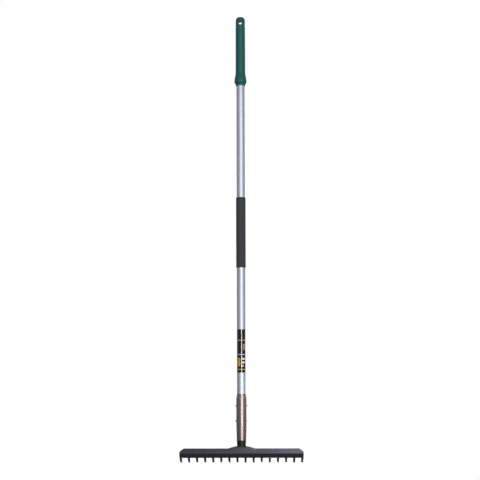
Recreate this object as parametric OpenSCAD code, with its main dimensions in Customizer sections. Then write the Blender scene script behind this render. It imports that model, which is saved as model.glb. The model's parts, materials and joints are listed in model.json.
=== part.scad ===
// Garden rake with a moulded level head, an aluminium tube handle and two grips.
// Millimetres, +Z up along the handle, +X along the head, teeth towards +Y.
// The origin is the centre of the hang hole in the end grip.

/* [Handle tube] */
// Outside diameter of the aluminium tube
tube_d = 28; // [26:0.5:30]
// Wall thickness of the tube
tube_wall = 1.2; // [0.8:0.1:1.6]
// Length of bare tube between the two grips
upper_bare = 382.5; // [250:0.5:450]
// Length of bare tube between the middle grip and the ferrule
lower_bare = 416; // [360:1:500]

/* [End grip] */
// Diameter of the hang hole
hang_hole_d = 14; // [10:0.5:15]
// Height of the grip above the centre of the hang hole
eye_rise = 20.8; // [19:0.1:30]
// Thickness of the flattened eye round the hang hole
eye_t = 29.5; // [26:0.5:30.5]
// Length of the grip below the centre of the hang hole
grip_drop = 218.5; // [180:0.5:260]
// Wall of the grip at the top of its barrel
grip_wall = 2; // [1.8:0.05:3]
// Step in from the barrel to the narrower eye
eye_step = 0.4; // [0.2:0.05:0.8]
// Growth in diameter of the grip's barrel down to the bell
grip_taper = 0.5; // [0:0.1:3]
// Largest diameter of the bell
bell_d = 41.3; // [38:0.1:46]
// Length of the flare that leads to the largest diameter
bell_len = 32; // [24:1:40]

/* [Middle grip] */
// Length of the foam sleeve
mid_grip_len = 236; // [150:1:300]
// Wall thickness of the foam sleeve
mid_grip_wall = 1.9; // [1.5:0.1:5]

/* [Label] */
// Bare tube between the middle grip and the label
label_gap = 205; // [150:1:230]
// Length of the wrapped label
label_len = 142; // [80:1:150]
// Thickness of the label film
label_t = 0.2; // [0.15:0.05:0.3]
// Width of the open seam at the back of the label
label_seam = 2; // [1:0.5:5]

/* [Ferrule] */
// Length of the ferrule
ferrule_len = 152; // [140:1:180]
// Wall thickness of the ferrule
ferrule_wall = 2.85; // [2.3:0.05:3.5]
// Depth of the tube's socket in the ferrule
socket_depth = 112; // [105:1:125]
// Height of the rounded shoulder
shoulder_h = 18; // [10:0.5:24]
// Diameter of the ferrule's lower end
ferrule_low_d = 31.2; // [29.6:0.1:32.4]
// Distance of the upper rivet from the ferrule's top
rivet_inset = 40; // [35:1:45]
// Distance between the rivets
rivet_pitch = 48.5; // [40:0.5:55]
// Shank diameter of the rivets
rivet_d = 5; // [4:0.5:6]
// Diameter of the rivet heads
rivet_head_d = 8.6; // [7.5:0.1:10]
// Height of the rivet heads
rivet_head_h = 2.6; // [1.6:0.1:3]

/* [Neck collar] */
// Length of the collar
collar_len = 19; // [12:0.5:26]
// Diameter of the collar at its lower end
collar_low_d = 28.9; // [28.2:0.1:29.6]
// Number of ring grooves in the collar
collar_grooves = 3; // [2:1:4]

/* [Head] */
// Number of teeth
tooth_count = 16; // [14:2:18]
// Distance between the centres of two teeth
tooth_pitch = 26.5; // [24:0.1:30]
// Length of the bar past the centre of an end tooth
bar_overhang = 4.1; // [3.8:0.1:6]
// Height of the bar
bar_h = 29.6; // [28:0.1:33]
// Height of the edge between the bar's two front faces
edge_h = 16; // [14:0.5:18]
// Radius of that edge
edge_r = 5; // [4.5:0.1:7]
// Lean of the upper front face from upright, in degrees
face_tilt = 15; // [10:1:20]
// Lean of the lower front face from upright, in degrees
under_tilt = 40; // [32:1:44]
// Depth of the bar from its front to its open back
bar_depth = 24; // [21:0.5:28]
// Wall thickness of the moulding
head_wall = 3.6; // [3:0.1:4]
// Width of the bar's cut upper corners
bar_corner_w = 14.5; // [10:0.5:16]
// Height of the bar's cut upper corners
bar_corner_h = 11; // [8:0.5:12]
// Width of the hump that carries the neck
hump_w = 88; // [80:1:100]
// Rise of the hump above the bar
hump_rise = 7.2; // [6:0.1:9]

/* [Teeth] */
// Distance of a tooth's tip behind the lower front edge of the bar
tooth_reach = 36; // [32:1:44]
// Distance of a tooth's tip below the bar
tooth_drop = 19.3; // [16:0.1:26]
// Radius of a tooth's curve
tooth_curve_r = 74; // [60:1:110]
// Thickness of a tooth at its root
tooth_root_t = 9; // [8:0.5:10]
// Thickness of a tooth at its tip
tooth_tip_t = 5; // [4:0.5:6]
// Width of a tooth at its root
tooth_root_w = 6.4; // [6:0.1:7.6]
// Width of a tooth at its tip
tooth_tip_w = 6; // [4.5:0.1:6.8]

/* [Hidden] */
$fn = 96;
// Steps in the formula arcs of profiles
arc_steps = 8;
// Overlap that cuts run past a face
past = 1;

// Radial room of a pushed-on sleeve, of the spigot and of the rivets
push_fit = 0.1;
spigot_fit = 0.2;
rivet_fit = 0.1;

// Heights along the handle, from the hang hole down
tube_r = tube_d / 2;
eye_web = 15;
tube_top_z = -hang_hole_d / 2 - eye_web;
grip_end_z = -grip_drop;
mid_top_z = grip_end_z - upper_bare;
mid_end_z = mid_top_z - mid_grip_len;
label_top_z = mid_end_z - label_gap;
ferrule_top_z = mid_end_z - lower_bare;
tube_end_z = ferrule_top_z - socket_depth;
ferrule_end_z = ferrule_top_z - ferrule_len;
seat_z = ferrule_end_z - collar_len;
bar_z = seat_z - hump_rise - bar_h;
upper_rivet_z = ferrule_top_z - rivet_inset;
lower_rivet_z = upper_rivet_z - rivet_pitch;

// End grip: barrel, dome, eye and bell
grip_r = tube_r + grip_wall;
grip_low_r = grip_r + grip_taper / 2;
eye_r = grip_r - eye_step;
step_z = -15;
dome_r = 11;
eye_half_w = 10.5;
eye_low_z = -18;
hole_rim = 1;
bell_r = bell_d / 2;
bell_lip = 14.5;
bell_top_z = grip_end_z + bell_lip + bell_len;
bell_max_z = grip_end_z + bell_lip;
cuff_ease = 0.6;
lip_h = 5.5;
lip_ease = 0.5;
lip_round = 4;
flare_start = 0.06;

// Middle grip: rounding of its ends as a part of the wall
foam_ease = 0.6;

// Ferrule and what sits in it
ferrule_r = tube_r + ferrule_wall;
ferrule_low_r = ferrule_low_d / 2;
taper_h = 53;
spigot_r = tube_r - tube_wall - spigot_fit;
spigot_above_rivet = 12;
spigot_top_z = upper_rivet_z + spigot_above_rivet;
spigot_core_r = 6.5;
spigot_chamfer = 1.5;
spot_depth = 0.5;
spot_room = 0.4;
rivet_seat_x = ferrule_r - spot_depth;
rivet_seat_r = rivet_head_d / 2 + spot_room;
shoulder_lip = 0.3;

// Collar
collar_top_r = ferrule_low_r;
collar_low_r = collar_low_d / 2;
groove_depth = 0.8;
groove_h = 1.6;

// Head: heights count from the lower edge of the bar
bar_front_y = -21;
bar_back_y = bar_front_y + bar_depth;
edge_y = bar_front_y + edge_r;
bar_low_y = face_y(0, edge_r, under_tilt);
bar_top_y = face_y(bar_h, edge_r, face_tilt);
end_tooth_x = tooth_pitch * (tooth_count - 1) / 2;
bar_w = 2 * (end_tooth_x + bar_overhang);
cell_w = tooth_pitch - tooth_root_w;
seat_h = bar_h + hump_rise;
boss_rim = 0.6;
boss_r = collar_low_r + boss_rim;
bar_plan_r = 9;
corner_power = 1.5;
core_floor = 8;

// Hump: a dome seen from the front that leans a little less than the bar's upper face
dome_front_r = radius_over(hump_w / 2, hump_rise);
hump_tilt = 12;
hump_low_h = 12;
hump_face_h = 18;
hump_back_y = 16;
hump_face_y = face_y(hump_face_h, edge_r, face_tilt);
hump_top_y = hump_face_y + (seat_h - hump_face_h) * tan(hump_tilt);
hump_flat_w = 42;
hump_past_w = 4;
hump_end_w = hump_w + hump_past_w;

// Teeth: centre line from the root in the bar's lower wall to the tip
root_h = 6;
root_proud = 0.8;
root_sink = tooth_root_t / 2 - root_proud;
tooth_root = [face_y(root_h, edge_r, under_tilt), root_h] + root_sink * [cos(under_tilt), sin(under_tilt)];
tooth_tip = [bar_low_y + tooth_reach, tooth_tip_t / 2 - tooth_drop];
tooth_centre = arc_centre(tooth_root, tooth_tip, tooth_curve_r);
tooth_mean_t = (tooth_root_t + tooth_tip_t) / 2;
root_flare = 0.6;
flare_past = 0.6;
flare_y = bar_low_y + flare_past;
flare_len = 4;
tip_ease = 0.94;

// The bar's ends close in towards the flared end teeth
end_draft = max(0, bar_overhang - tooth_root_w / 2 - root_flare);

// Radius of an arc from half its chord and its sagitta
function radius_over(half_chord, sag) = (pow(half_chord, 2) + pow(sag, 2)) / (2 * sag);

// Depth of the bar's front face of the given lean at height h, tangent to an edge of radius r
function face_y(h, r, tilt) = edge_y - (r - sin(tilt) * abs(h - edge_h)) / cos(tilt);

// Centre of the arc of radius r from p to q that curves round the left of that way
function arc_centre(p, q, r) =
    let (chord = norm(q - p), along = (q - p) / chord)
    (p + q) / 2 + sqrt(r * r - chord * chord / 4) * [-along[1], along[0]];

// Unit vector from p to q
function toward(p, q) = (q - p) / norm(q - p);

// Points of an arc about centre c, from angle a to angle b
function arc_points(c, r, a, b) =
    [for (i = [0 : arc_steps]) c + r * [cos(a + (b - a) * i / arc_steps), sin(a + (b - a) * i / arc_steps)]];

// Place of tooth i along the bar
function tooth_x(i) = (i - (tooth_count - 1) / 2) * tooth_pitch;

// Smooth step from 0 to 1
function smooth(t) = t * t * (3 - 2 * t);

// Sleeve of revolution between two heights
module sleeve(inner_r, outer_r, low_z, high_z) {
    translate([0, 0, low_z])
        difference() {
            cylinder(r = outer_r, h = high_z - low_z);
            translate([0, 0, -past])
                cylinder(r = inner_r, h = high_z - low_z + 2 * past);
        }
}

// Outline in the Y and Z plane, drawn out along X about the middle
module along_x(length) {
    translate([-length / 2, 0, 0])
        rotate([90, 0, 90])
            linear_extrude(length)
                children();
}

// Outline in the X and Z plane, drawn out along Y from front_y to back_y
module along_y(front_y, back_y) {
    translate([0, back_y, 0])
        rotate([90, 0, 0])
            linear_extrude(back_y - front_y)
                children();
}

// Holes for both rivets, across the ferrule
module rivet_holes() {
    for (z = [upper_rivet_z, lower_rivet_z])
        translate([0, 0, z])
            rotate([0, 90, 0])
                cylinder(r = rivet_d / 2 + rivet_fit, h = 2 * ferrule_r + 2 * past, center = true);
}

// Outer skin of the end grip, turned about the handle
module grip_body() {
    flare = [for (i = [0 : arc_steps])
        let (t = i / arc_steps)
        [grip_low_r + (bell_r - grip_low_r) * smooth(flare_start + (1 - flare_start) * t),
         bell_top_z - bell_len * t]];
    rotate_extrude()
        polygon(concat(
            [[0, grip_end_z], [grip_r - cuff_ease, grip_end_z], [grip_r, grip_end_z + cuff_ease],
             [grip_low_r, grip_end_z + lip_h], [bell_r - lip_ease, bell_max_z - lip_round]],
            [for (i = [arc_steps : -1 : 0]) flare[i]],
            [[grip_r, step_z - eye_step], [eye_r, step_z]],
            arc_points([eye_r - dome_r, eye_rise - dome_r], dome_r, 0, 90),
            [[0, eye_rise]]));
}

// Cutter that flattens the eye on the side towards -Y, with a round lower end
module eye_flat() {
    along_y(-grip_r - past, -eye_t / 2) {
        translate([-eye_half_w, eye_low_z + eye_half_w])
            square([2 * eye_half_w, eye_rise - eye_low_z]);
        translate([0, eye_low_z + eye_half_w])
            circle(r = eye_half_w);
    }
}

// Hang hole with a chamfered rim on both faces
module hang_hole() {
    rotate([90, 0, 0])
        cylinder(d = hang_hole_d, h = eye_t + 2 * past, center = true);
    for (side = [0, 180])
        rotate([90, 0, side])
            translate([0, 0, eye_t / 2 - hole_rim])
                cylinder(r1 = hang_hole_d / 2, r2 = hang_hole_d / 2 + hole_rim + past, h = hole_rim + past);
}

// Moulded grip that closes the upper end of the tube
module end_grip() {
    color("#31625f")
        difference() {
            grip_body();
            translate([0, 0, grip_end_z - past])
                cylinder(r = tube_r + push_fit, h = tube_top_z - grip_end_z + past);
            eye_flat();
            mirror([0, 1, 0])
                eye_flat();
            hang_hole();
        }
}

// Drawn tube from the eye down to the shoulder in the ferrule
module handle_tube() {
    color("#c3c7d1")
        difference() {
            sleeve(tube_r - tube_wall, tube_r, tube_end_z, tube_top_z);
            rivet_holes();
        }
}

// Foam sleeve for the second hand, with rounded ends
module mid_grip() {
    inner_r = tube_r + push_fit;
    outer_r = tube_r + mid_grip_wall;
    ease = mid_grip_wall * foam_ease;
    color("#3e3d43")
        rotate_extrude()
            polygon(concat(
                [[inner_r, mid_end_z]],
                arc_points([outer_r - ease, mid_end_z + ease], ease, -90, 0),
                arc_points([outer_r - ease, mid_top_z - ease], ease, 0, 90),
                [[inner_r, mid_top_z]]));
}

// Film wrapped once round the tube, with its seam at the back
module label_wrap() {
    inner_r = tube_r + push_fit;
    color("#141416")
        difference() {
            sleeve(inner_r, inner_r + label_t, label_top_z - label_len, label_top_z);
            translate([-label_seam / 2, 0, label_top_z - label_len - past])
                cube([label_seam, tube_r + past, label_len + 2 * past]);
        }
}

// Socket that joins the tube to the head: rounded shoulder, straight body, tapered foot
module ferrule() {
    lip_r = tube_r + push_fit + shoulder_lip;
    shoulder = [for (i = [0 : arc_steps])
        let (t = i / arc_steps)
        [ferrule_r + (lip_r - ferrule_r) * smooth(t), ferrule_top_z - shoulder_h * (1 - t)]];
    color("#8a7668")
        difference() {
            rotate_extrude()
                polygon(concat(
                    [[0, ferrule_end_z], [ferrule_low_r, ferrule_end_z], [ferrule_r, ferrule_end_z + taper_h]],
                    shoulder,
                    [[0, ferrule_top_z]]));
            translate([0, 0, tube_end_z])
                cylinder(r = tube_r + push_fit, h = socket_depth + past);
            translate([0, 0, ferrule_end_z - past])
                cylinder(r = spigot_r + push_fit, h = ferrule_len);
            rivet_holes();
            for (z = [upper_rivet_z, lower_rivet_z])
                for (side = [0, 180])
                    translate([0, 0, z])
                        rotate([0, 90, side])
                            translate([0, 0, rivet_seat_x])
                                cylinder(r = rivet_seat_r, h = past + ferrule_wall);
        }
}

// Cross rivet: a shank with a low domed head at each end
module rivet(z) {
    cap_r = radius_over(rivet_head_d / 2, rivet_head_h);
    color("#b9b1a8")
        translate([0, 0, z])
            rotate([0, 90, 0]) {
                cylinder(d = rivet_d, h = 2 * rivet_seat_x, center = true);
                for (side = [0, 1])
                    mirror([0, 0, side])
                        translate([0, 0, rivet_seat_x])
                            intersection() {
                                translate([0, 0, rivet_head_h - cap_r])
                                    sphere(r = cap_r);
                                cylinder(d = 2 * rivet_head_d, h = 2 * rivet_head_h);
                            }
            }
}

module upper_rivet() {
    rivet(upper_rivet_z);
}

module lower_rivet() {
    rivet(lower_rivet_z);
}

// Ring-grooved collar between the ferrule and the hump
module neck_collar() {
    step = collar_len / (collar_grooves + 1);
    color("#1b1b1f")
        difference() {
            translate([0, 0, seat_z])
                cylinder(r1 = collar_low_r, r2 = collar_top_r, h = collar_len);
            translate([0, 0, seat_z - past])
                cylinder(r = spigot_r + push_fit, h = collar_len + 2 * past);
            for (i = [1 : collar_grooves])
                sleeve(collar_low_r - groove_depth, collar_top_r + past,
                       seat_z + i * step - groove_h / 2, seat_z + i * step + groove_h / 2);
        }
}

// Section of the bar: two leaning front faces that meet in a round edge, inset for the inside
module bar_section(inset, back_y) {
    r = edge_r - inset;
    low_h = inset;
    high_h = bar_h - inset;
    polygon(concat(
        [[back_y, high_h], [face_y(high_h, r, face_tilt), high_h]],
        arc_points([edge_y, edge_h], r, 180 - face_tilt, 180 + under_tilt),
        [[face_y(low_h, r, under_tilt), low_h], [back_y, low_h]]));
}

// Cut upper corner of the bar, between a chamfer and a round
function corner_points(side) =
    [for (i = [0 : arc_steps])
        let (t = 90 * i / arc_steps)
        [side * (bar_w / 2 - bar_corner_w * (1 - pow(cos(t), 2 / corner_power))),
         bar_h - bar_corner_h * (1 - pow(sin(t), 2 / corner_power))]];

// Front view of the bar with cut upper corners and ends that close in downwards
module bar_front() {
    right = corner_points(1);
    left = corner_points(-1);
    low_x = bar_w / 2 - end_draft;
    polygon(concat(
        [[-low_x, 0], [low_x, 0]],
        right,
        [for (i = [arc_steps : -1 : 0]) left[i]]));
}

// Plan view of the bar with rounded front corners
module bar_plan() {
    polygon(concat(
        [[bar_w / 2, bar_back_y], [-bar_w / 2, bar_back_y]],
        arc_points([bar_plan_r - bar_w / 2, bar_front_y + bar_plan_r], bar_plan_r, 180, 270),
        arc_points([bar_w / 2 - bar_plan_r, bar_front_y + bar_plan_r], bar_plan_r, 270, 360)));
}

// Outer form of the bar
module bar_body() {
    intersection() {
        along_x(bar_w)
            bar_section(0, bar_back_y);
        along_y(bar_front_y - past, bar_back_y + past)
            bar_front();
        translate([0, 0, -past])
            linear_extrude(bar_h + 2 * past)
                bar_plan();
    }
}

// Side view of the hump: a leaning front and an upright back
module hump_side(inset) {
    polygon([[edge_y + inset, hump_low_h - inset], [hump_back_y - inset, hump_low_h - inset],
             [hump_back_y - inset, seat_h], [hump_top_y + inset, seat_h], [hump_face_y + inset, hump_face_h]]);
}

// Right half of the hump's plan, with flanks to the bar's top edges
function hump_flank(inset) =
    [[hump_flat_w / 2, bar_front_y + inset], [hump_end_w / 2, bar_top_y + inset],
     [hump_end_w / 2, bar_back_y - inset], [hump_flat_w / 2, hump_back_y - inset]];

// Plan view of the hump
module hump_plan(inset) {
    right = hump_flank(inset);
    polygon(concat(right, [for (i = [len(right) - 1 : -1 : 0]) [-right[i][0], right[i][1]]]));
}

// Form of the hump, inset for its inside
module hump_body(inset) {
    intersection() {
        along_y(bar_front_y - past, hump_back_y + past)
            translate([0, seat_h - dome_front_r])
                circle(r = dome_front_r - inset, $fn = 2 * $fn);
        along_x(hump_w + 2 * hump_rise)
            hump_side(inset);
        linear_extrude(2 * bar_h)
            hump_plan(inset);
    }
}

// Hollows behind the bar, one between each pair of ribs but the middle pair
module head_cells() {
    middle = (tooth_count - 2) / 2;
    for (i = [0 : tooth_count - 2])
        if (i != middle)
            translate([tooth_x(i) + tooth_pitch / 2, 0, 0])
                along_x(cell_w)
                    bar_section(head_wall, bar_back_y + past);
    for (i = [middle - 1, middle + 1])
        intersection() {
            translate([tooth_x(i) + tooth_pitch / 2 - cell_w / 2, edge_y, 0])
                cube([cell_w, bar_depth + hump_back_y, seat_h]);
            hump_body(head_wall);
        }
}

// Side view of a tooth: two arcs that close towards a round tip
module tooth_side() {
    root_out = toward(tooth_centre, tooth_root);
    tip_out = toward(tooth_centre, tooth_tip);
    outer_r = tooth_curve_r + tooth_mean_t / 2;
    inner_r = tooth_curve_r - tooth_mean_t / 2;
    outer_centre = arc_centre(tooth_root + root_out * tooth_root_t / 2,
                              tooth_tip + tip_out * tooth_tip_t / 2, outer_r);
    inner_centre = arc_centre(tooth_root - root_out * tooth_root_t / 2,
                              tooth_tip - tip_out * tooth_tip_t / 2, inner_r);
    intersection() {
        difference() {
            translate(outer_centre)
                circle(r = outer_r, $fn = 2 * $fn);
            translate(inner_centre)
                circle(r = inner_r, $fn = 2 * $fn);
        }
        polygon([tooth_root + root_out * 2 * tooth_root_t, tooth_root - root_out * tooth_root_t,
                 tooth_tip - tip_out * tooth_root_t, tooth_tip + tip_out * 2 * tooth_root_t]);
    }
    translate(tooth_tip)
        circle(d = tooth_tip_t * tip_ease);
}

// Plan view of a tooth: tapered, with a round tip, and widened by flare where it leaves the bar
module tooth_plan(flare) {
    tip_y = tooth_tip[0] + (tooth_tip_t - tooth_tip_w) / 2;
    half_root = tooth_root_w / 2;
    edge = [for (i = [0 : arc_steps])
        let (t = i / arc_steps)
        [half_root + flare * pow(1 - t, 2), flare_y + flare_len * t]];
    right = concat([[half_root, bar_front_y - past], [half_root, flare_y - 2 * past]], edge);
    left = [for (i = [len(right) - 1 : -1 : 0]) [-right[i][0], right[i][1]]];
    polygon(concat(right, arc_points([0, tip_y], tooth_tip_w / 2, 0, 180), left));
}

// Curved tapered tooth about the middle of the bar, flared below the bar only
module tooth() {
    intersection() {
        along_x(2 * tooth_root_w + 2 * root_flare)
            tooth_side();
        translate([0, 0, -tooth_drop - past])
            union() {
                linear_extrude(tooth_drop + bar_h)
                    tooth_plan(0);
                linear_extrude(tooth_drop + past + head_wall / 2)
                    tooth_plan(root_flare);
            }
    }
}

// Hollow spigot that passes the collar and the ferrule and fills the end of the tube
module spigot() {
    top_h = spigot_top_z - bar_z;
    translate([0, 0, hump_low_h])
        cylinder(r = spigot_r, h = top_h - spigot_chamfer - hump_low_h);
    translate([0, 0, top_h - spigot_chamfer])
        cylinder(r1 = spigot_r, r2 = spigot_r - spigot_chamfer, h = spigot_chamfer);
    translate([0, 0, hump_low_h])
        cylinder(r = boss_r, h = seat_h - hump_low_h);
}

// Head in one moulding: ribbed bar, hump, spigot and teeth
module rake_head() {
    color("#4b4953")
        difference() {
            translate([0, 0, bar_z]) {
                difference() {
                    union() {
                        bar_body();
                        hump_body(0);
                    }
                    head_cells();
                }
                for (i = [0 : tooth_count - 1])
                    translate([tooth_x(i), 0, 0])
                        tooth();
                spigot();
            }
            translate([0, 0, bar_z + core_floor])
                cylinder(r = spigot_core_r, h = spigot_top_z - bar_z);
            rivet_holes();
        }
}

end_grip();
handle_tube();
mid_grip();
label_wrap();
ferrule();
upper_rivet();
lower_rivet();
neck_collar();
rake_head();
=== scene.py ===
# %% [markdown]
# # A garden rake with a moulded level head
# The rake hangs by the hole in its end grip. From the top down it has a green end grip, an
# aluminium tube, a foam sleeve, a printed label, a bronze ferrule with two rivets, a black
# collar, and a charcoal head with sixteen teeth. Each piece below is modelled on its own and
# stands for the solid of the same name. The lesson starts by loading those solids, because
# they say where everything is.

# %% Load the frame
import json
import math

import bmesh
import bpy
from mathutils import Matrix, Vector, noise


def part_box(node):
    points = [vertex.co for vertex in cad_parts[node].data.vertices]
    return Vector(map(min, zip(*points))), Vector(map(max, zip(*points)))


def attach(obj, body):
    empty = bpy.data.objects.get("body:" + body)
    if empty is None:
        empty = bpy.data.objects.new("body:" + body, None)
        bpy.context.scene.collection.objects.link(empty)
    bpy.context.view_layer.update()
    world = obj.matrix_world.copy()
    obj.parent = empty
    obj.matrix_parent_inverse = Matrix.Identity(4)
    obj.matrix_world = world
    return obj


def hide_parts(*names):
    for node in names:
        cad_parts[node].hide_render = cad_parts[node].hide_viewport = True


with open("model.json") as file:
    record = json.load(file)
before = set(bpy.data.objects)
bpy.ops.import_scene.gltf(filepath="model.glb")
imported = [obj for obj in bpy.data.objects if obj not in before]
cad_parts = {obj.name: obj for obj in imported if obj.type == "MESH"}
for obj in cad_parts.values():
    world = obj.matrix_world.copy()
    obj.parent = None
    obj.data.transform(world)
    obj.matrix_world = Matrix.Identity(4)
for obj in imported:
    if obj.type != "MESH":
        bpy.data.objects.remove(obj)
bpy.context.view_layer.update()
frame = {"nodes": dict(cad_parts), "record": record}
scene = bpy.context.scene
scene.view_settings.view_transform = "Standard"
print("solids:", ", ".join(sorted(frame["nodes"])))

# %% [markdown]
# ## Camera
# The photograph was taken with a long lens from about three and a half metres, at the height
# of the label, so the hang hole is seen from below and the head from above. A lens of 80 mm on
# a 36 mm square frame gives that view. The camera stands a little to the right, looks up six
# degrees, and is rolled a sixth of a degree, because the handle leans that much in the picture.

# %% Camera
def mm(*sizes):
    """Millimetres as Blender's metres: one length, or the point that three numbers give."""
    return sizes[0] / 1000 if len(sizes) == 1 else Vector(sizes) / 1000


EYE = mm(59.1, -3557, -1118)
PAN, TILT, ROLL = (math.radians(angle) for angle in (1.0, 96.0, -0.16))

lens = bpy.data.cameras.new("photo_camera")
lens.sensor_width = 36
lens.lens = 80.2
camera = bpy.data.objects.new("photo_camera", lens)
scene.collection.objects.link(camera)
camera.matrix_world = (
    Matrix.Translation(EYE)
    @ Matrix.Rotation(PAN, 4, "Z")
    @ Matrix.Rotation(TILT, 4, "X")
    @ Matrix.Rotation(ROLL, 4, "Z")
)
scene.camera = camera
print("camera at", [round(c, 3) for c in camera.matrix_world.translation])

# %% [markdown]
# ## Light and floor
# A vertical tube shows a light as one long streak, so the main lamp is a tall soft strip to the
# right of the camera. A small lamp with a grid hangs above the right half of the head: it
# brightens the head from left to right and leaves its underside dark. A broad weak lamp fills
# the front, and another does the same behind, so that the back can be looked at too. A low lamp
# there shines up into the pockets of the head, where it hardly shows from the front. A lamp's
# power is worked out from how bright its face should look, which keeps the lamps comparable
# when one is resized.

# %% Lamps
def soft_lamp(name, place, aim, size, brightness, spread=180):
    """A rectangular lamp at place that faces aim. Brightness is its face's. A grid narrows its spread."""
    lamp = bpy.data.lights.new(name, "AREA")
    lamp.shape = "RECTANGLE"
    lamp.size, lamp.size_y = size
    lamp.energy = brightness * math.pi * lamp.size * lamp.size_y
    lamp.spread = math.radians(spread)
    holder = bpy.data.objects.new(name, lamp)
    holder.location = place
    holder.rotation_euler = (Vector(aim) - Vector(place)).to_track_quat("-Z", "Y").to_euler()
    holder.visible_camera = False
    scene.collection.objects.link(holder)
    print(name, round(lamp.energy, 1), "W")


soft_lamp("strip_lamp", place=(1.15, -4.1, -1.05), aim=(0, 0, -1.0), size=(0.8, 3.7), brightness=17.5)
soft_lamp("head_lamp", place=(0.62, -0.4, -0.6), aim=(0.32, 0, -1.46), size=(0.4, 0.4), brightness=5.2,
          spread=50)
soft_lamp("fill_lamp", place=(-1.2, -3.6, 2.2), aim=(0, 0, -0.7), size=(4.0, 3.0), brightness=0.3)
soft_lamp("back_lamp", place=(-1.6, 2.6, 0.8), aim=(0, 0, -0.8), size=(2.0, 2.0), brightness=0.9)
soft_lamp("low_lamp", place=(0.1, 1.3, -1.95), aim=(0, 0, -1.46), size=(1.4, 0.4), brightness=4.0,
          spread=80)

# %% [markdown]
# The camera sees a white world. Reflections see that white only where the backdrop is, behind
# the rake. Elsewhere they see the room that also lights the rake: pale walls, a dim ceiling and
# a dark floor. The world's Generated coordinates are the direction of the ray that asks.

# %% World
def linear(hex_colour):
    """An sRGB hex colour as the linear RGBA that shaders take."""
    parts = [int(hex_colour[i:i + 2], 16) / 255 for i in (1, 3, 5)]
    return [p / 12.92 if p <= 0.04045 else ((p + 0.055) / 1.055) ** 2.4 for p in parts] + [1.0]


def add_node(tree, kind, inputs=None, **settings):
    """One node with its settings. An input is a value, or another node's socket to link from."""
    made = tree.nodes.new(kind)
    for name, value in settings.items():
        setattr(made, name, value)
    for name, value in (inputs or {}).items():
        if isinstance(value, bpy.types.NodeSocket):
            tree.links.new(value, made.inputs[name])
        else:
            made.inputs[name].default_value = value
    return made


world = bpy.data.worlds.new("studio")
world.use_nodes = True
scene.world = world
sky = world.node_tree
sky.nodes.clear()
path = add_node(sky, "ShaderNodeLightPath")
way = add_node(sky, "ShaderNodeTexCoord")
axes = add_node(sky, "ShaderNodeSeparateXYZ", {"Vector": way.outputs["Generated"]})
behind = add_node(sky, "ShaderNodeMapRange", {"Value": axes.outputs["Y"], "From Min": 0.75,
                                              "From Max": 0.95})
mirrored = add_node(sky, "ShaderNodeMath", {0: path.outputs["Is Glossy Ray"],
                                            1: path.outputs["Is Transmission Ray"]}, operation="MAXIMUM")
backdrop = add_node(sky, "ShaderNodeMath", {0: mirrored.outputs[0], 1: behind.outputs[0]},
                    operation="MULTIPLY")
seen = add_node(sky, "ShaderNodeMath", {0: path.outputs["Is Camera Ray"], 1: backdrop.outputs[0]},
                operation="MAXIMUM")
walls = add_node(sky, "ShaderNodeMapRange", {"Value": axes.outputs["Z"], "From Min": -0.3, "From Max": 0.05,
                                             "To Min": 0.05, "To Max": 0.47})
ceiling = add_node(sky, "ShaderNodeMapRange", {"Value": axes.outputs["Z"], "From Min": 0.3, "From Max": 0.7,
                                               "To Min": 1.0, "To Max": 0.3})
level = add_node(sky, "ShaderNodeMath", {0: walls.outputs[0], 1: ceiling.outputs[0]}, operation="MULTIPLY")
room = add_node(sky, "ShaderNodeBackground", {"Color": linear("#f6f6f9"), "Strength": level.outputs[0]})
white = add_node(sky, "ShaderNodeBackground", {"Color": linear("#ffffff"), "Strength": 1.0})
both = add_node(sky, "ShaderNodeMixShader", {0: seen.outputs[0], 1: room.outputs[0], 2: white.outputs[0]})
add_node(sky, "ShaderNodeOutputWorld", {"Surface": both.outputs[0]})
print("world:", len(sky.nodes), "nodes")

# %% Floor
FLOOR_R = 2.2
FLOOR_Z = -2.15

bm = bmesh.new()
bmesh.ops.create_circle(bm, cap_ends=True, segments=96, radius=FLOOR_R)
bmesh.ops.translate(bm, verts=bm.verts, vec=(0, 0, FLOOR_Z))
floor_mesh = bpy.data.meshes.new("studio_floor")
bm.to_mesh(floor_mesh)
bm.free()
floor = bpy.data.objects.new("studio_floor", floor_mesh)
scene.collection.objects.link(floor)

# %% [markdown]
# ## Finishes
# Every finish starts from what the real surface is. A small function opens a new material and
# hands over its shader and the object coordinates, which are in metres on every piece, so a
# pattern that repeats every two millimetres has a scale of 1 / 0.002. The picture has about one
# pixel to three millimetres, so the finest grain is drawn a little coarser than life. A Mix node
# for colours takes its factor at input 0 and its colours at 6 and 7, and gives output 2.

# %% A start for each finish
def open_finish(name, colour, roughness, metallic=0.0):
    """A new material: its node tree, its shader, and the object coordinates."""
    finish = bpy.data.materials.new(name)
    finish.use_nodes = True
    tree = finish.node_tree
    shader = tree.nodes["Principled BSDF"]
    shader.inputs["Base Color"].default_value = linear(colour)
    shader.inputs["Roughness"].default_value = roughness
    shader.inputs["Metallic"].default_value = metallic
    print("finish:", name)
    return finish, tree, shader, add_node(tree, "ShaderNodeTexCoord").outputs["Object"]


def per(size):
    """The scale of a pattern that repeats every size millimetres."""
    return 1000 / size


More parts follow.
